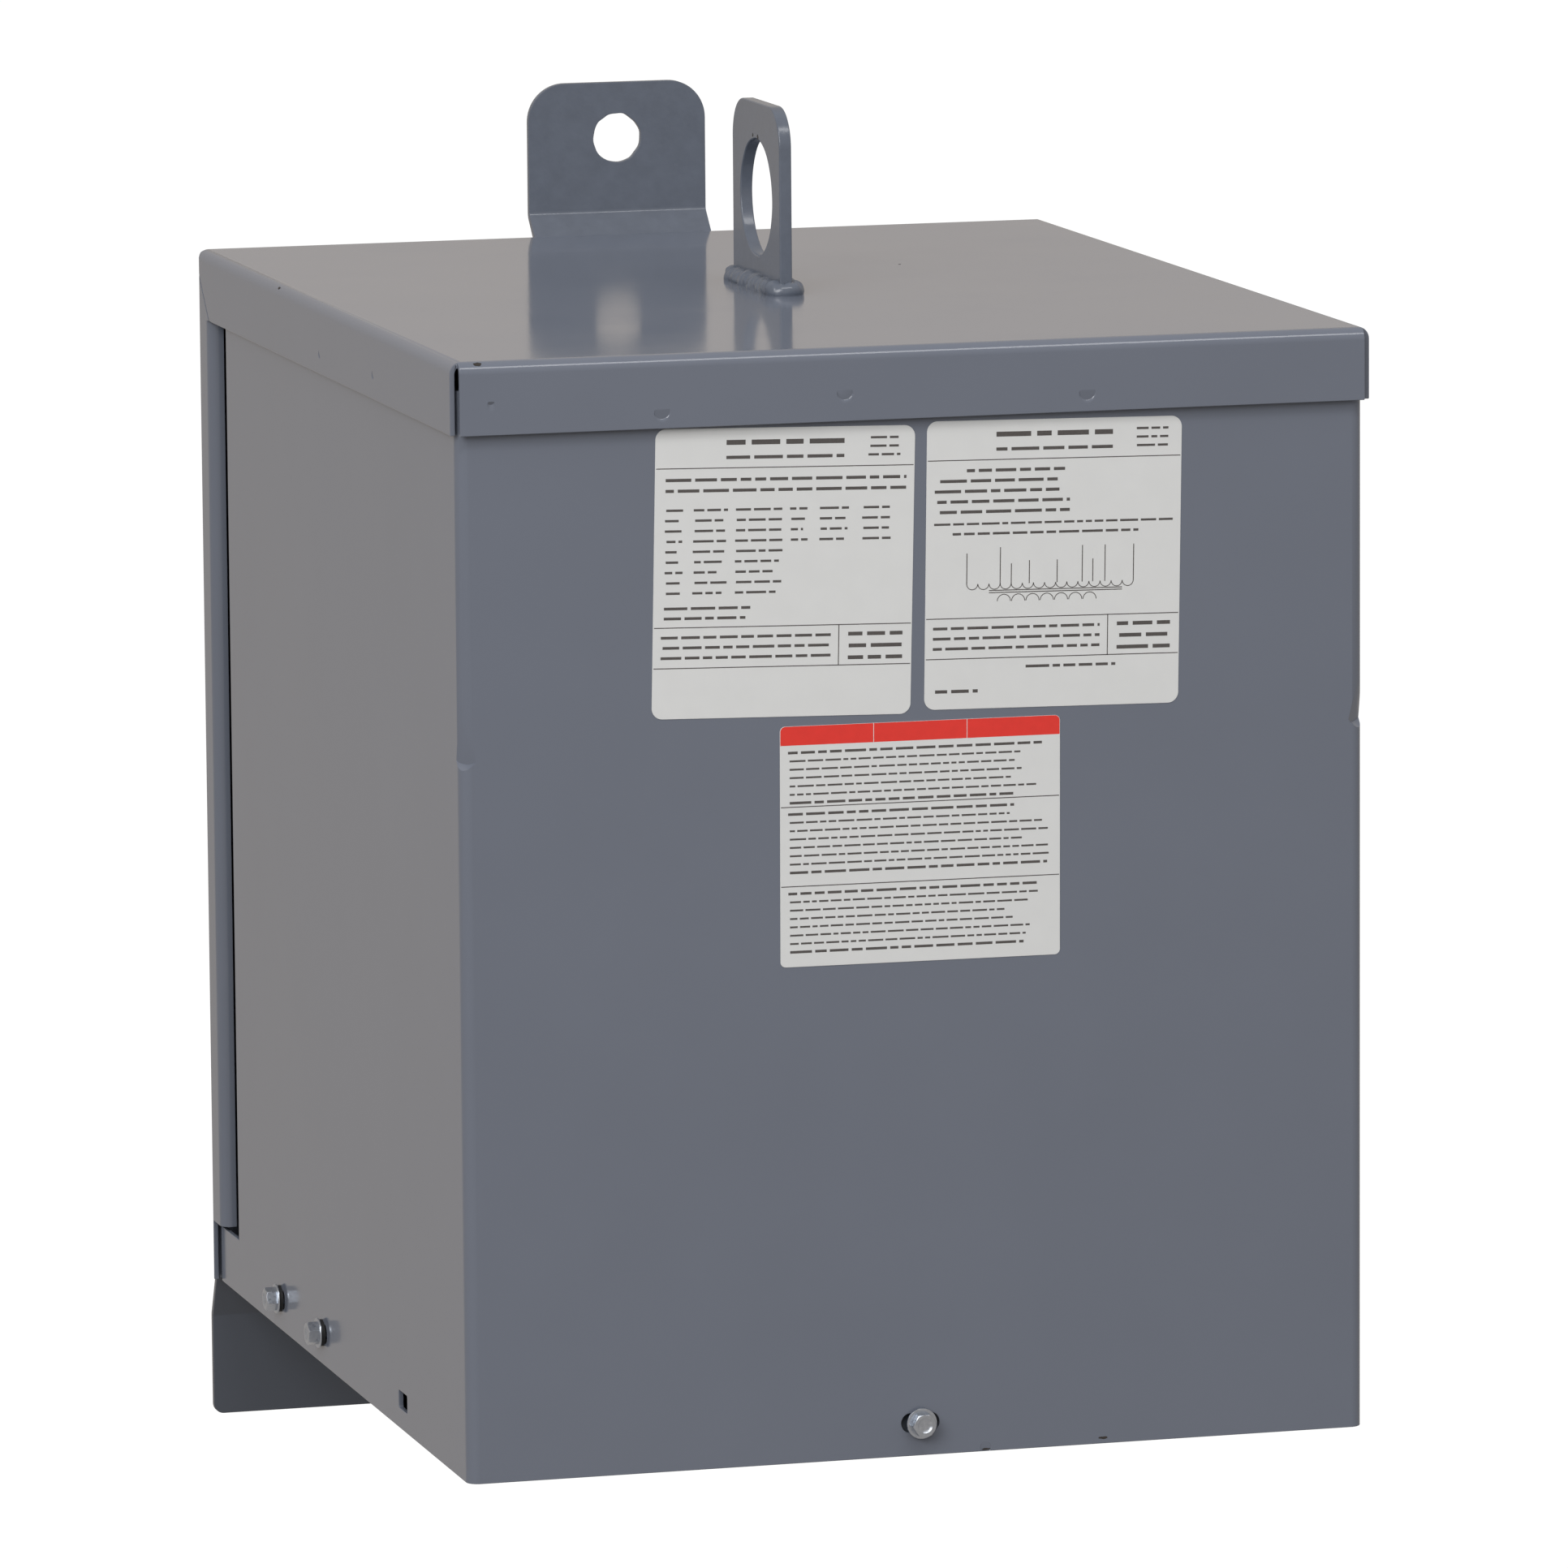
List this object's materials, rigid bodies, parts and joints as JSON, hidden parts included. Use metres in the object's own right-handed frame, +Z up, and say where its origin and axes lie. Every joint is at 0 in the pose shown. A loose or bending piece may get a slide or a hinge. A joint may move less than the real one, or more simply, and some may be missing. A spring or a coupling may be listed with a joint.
{
  "type": "wall-hung dry-type general purpose transformer",
  "caption": "Grey sheet-steel enclosed dry-type transformer with a folded lid, wall hanger plates above and below, and a welded lifting eye.",
  "frame": {"origin": "on the wall face of the lower hanger plate, midway between its two slots", "axes": "+X to the viewer's right, +Y into the wall, +Z up"},
  "size_m": [0.3526, 0.4268, 0.5345],
  "materials": {
    "paint": "gloss blue-grey enamel over sheet steel",
    "paint_inside": "thin blue-grey enamel inside the housing",
    "zinc": "bright zinc plate",
    "seal": "black sealing rubber",
    "label": "off-white film label stock"
  },
  "bodies": {
    "root": {"top_back_cover": "paint", "front_cover": "paint", "bottom_plate": "paint_inside", "core_case": "paint_inside", "case_side_left": "paint_inside", "case_side_right": "paint_inside", "upper_hanger": "paint", "lower_hanger": "paint", "upper_hanger_weld_left": "paint", "upper_hanger_weld_right": "paint", "lower_hanger_weld": "paint", "lifting_eye": "paint", "eye_weld_left": "paint", "eye_weld_right": "paint", "front_screw": "zinc", "left_front_screw": "zinc", "left_rear_screw": "zinc", "right_front_screw": "zinc", "right_rear_screw": "zinc", "front_seal": "seal", "left_front_seal": "seal", "left_rear_seal": "seal", "right_front_seal": "seal", "right_rear_seal": "seal", "left_label": "label", "right_label": "label", "lower_label": "label"}
  },
  "joints": []
}
